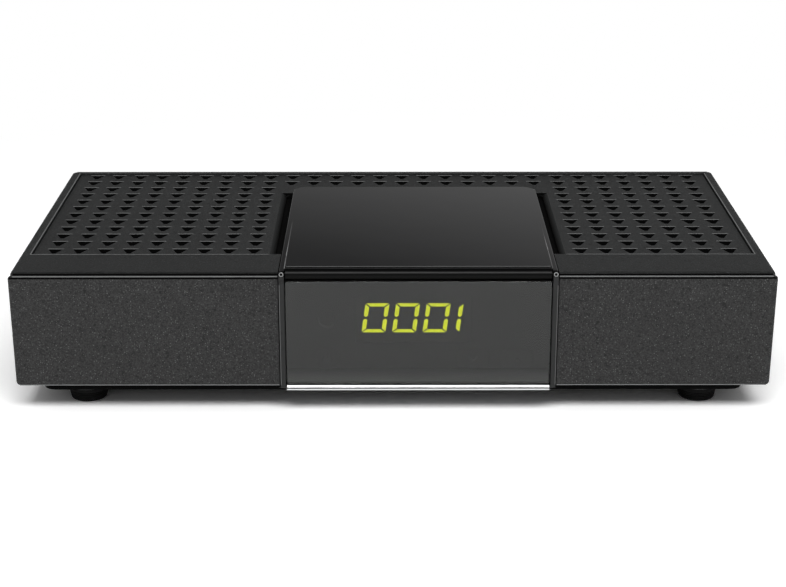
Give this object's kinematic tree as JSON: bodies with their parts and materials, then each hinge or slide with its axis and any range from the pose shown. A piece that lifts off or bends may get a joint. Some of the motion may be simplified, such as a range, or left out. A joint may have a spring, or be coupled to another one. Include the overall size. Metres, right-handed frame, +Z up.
{
  "type": "cable tv receiver",
  "caption": "Low oblong set-top receiver with a perforated cover, a gloss top panel rolling into a hinged smoked window over a numeric display, and a rear socket panel.",
  "frame": {"origin": "on the floor plane, under the middle of the bounding box", "axes": "+X to the right as seen from the front, +Y to the rear sockets, +Z up; the display faces -Y"},
  "size_m": [0.22, 0.1196, 0.0442],
  "materials": {
    "fascia_plastic": "fine spark-eroded grain, black",
    "cover_plastic": "fine matt grain, black",
    "gloss_plastic": "polished black",
    "inner_plastic": "as moulded, black",
    "smoked_acrylic": "polished smoked tint",
    "chrome": "bright plated plastic",
    "switch_steel": "tinned",
    "display_plastic": "grey face",
    "sensor_resin": "dark tinted resin",
    "circuit_board": "green solder mask",
    "plug_nylon": "ivory nylon",
    "ribbon_film": "white film",
    "heat_sink_aluminium": "dull grey anodised",
    "capacitor_sleeve": "dark shrink sleeve",
    "tin_plate": "tin plated",
    "foot_rubber": "moulded, matt black",
    "screw_steel": "blackened"
  },
  "bodies": {
    "housing": {"fascia": "fascia_plastic", "top_cover": "cover_plastic", "vent_grille": "cover_plastic", "centre_trim": "gloss_plastic", "bay_panel": "inner_plastic", "bottom_tray": "cover_plastic", "rear_panel": "cover_plastic", "standby_switch": "switch_steel", "channel_down_switch": "switch_steel", "channel_up_switch": "switch_steel", "display_module": "display_plastic", "remote_sensor": "sensor_resin", "front_board": "circuit_board", "main_board": "circuit_board", "front_plug": "plug_nylon", "main_plug": "plug_nylon", "ribbon_cable": "ribbon_film", "processor": "inner_plastic", "heat_sink": "heat_sink_aluminium", "capacitor_1": "capacitor_sleeve", "capacitor_2": "capacitor_sleeve", "capacitor_3": "capacitor_sleeve", "choke": "inner_plastic", "tuner_can": "tin_plate", "aerial_in_socket": "tin_plate", "aerial_out_socket": "tin_plate", "scart_socket": "inner_plastic", "hdmi_socket": "tin_plate", "usb_socket": "tin_plate", "digital_audio_socket": "inner_plastic", "power_socket": "inner_plastic", "foot_front_left": "foot_rubber", "foot_front_right": "foot_rubber", "foot_rear_left": "foot_rubber", "foot_rear_right": "foot_rubber", "case_screw_front_left": "screw_steel", "case_screw_front_right": "screw_steel", "case_screw_rear_left": "screw_steel", "case_screw_rear_right": "screw_steel"},
    "flap": {"hinge_bar": "gloss_plastic", "display_window": "smoked_acrylic", "chrome_strip": "chrome"},
    "standby": {"standby_button": "gloss_plastic"},
    "channel_down": {"channel_down_button": "gloss_plastic"},
    "channel_up": {"channel_up_button": "gloss_plastic"}
  },
  "joints": [
    {"name": "flap_hinge", "type": "hinge", "parent": "housing", "child": "flap", "pos_m": [0.0073, -0.0568, 0.0423], "axis": [-1, 0, 0], "range_deg": [0, 100]},
    {"name": "standby_press", "type": "slide", "parent": "housing", "child": "standby", "axis": [0, 1, 0], "range_m": [0, 0.0005], "stiffness_N_per_m": 600},
    {"name": "channel_down_press", "type": "slide", "parent": "housing", "child": "channel_down", "axis": [0, 1, 0], "range_m": [0, 0.0005], "stiffness_N_per_m": 600},
    {"name": "channel_up_press", "type": "slide", "parent": "housing", "child": "channel_up", "axis": [0, 1, 0], "range_m": [0, 0.0005], "stiffness_N_per_m": 600}
  ]
}
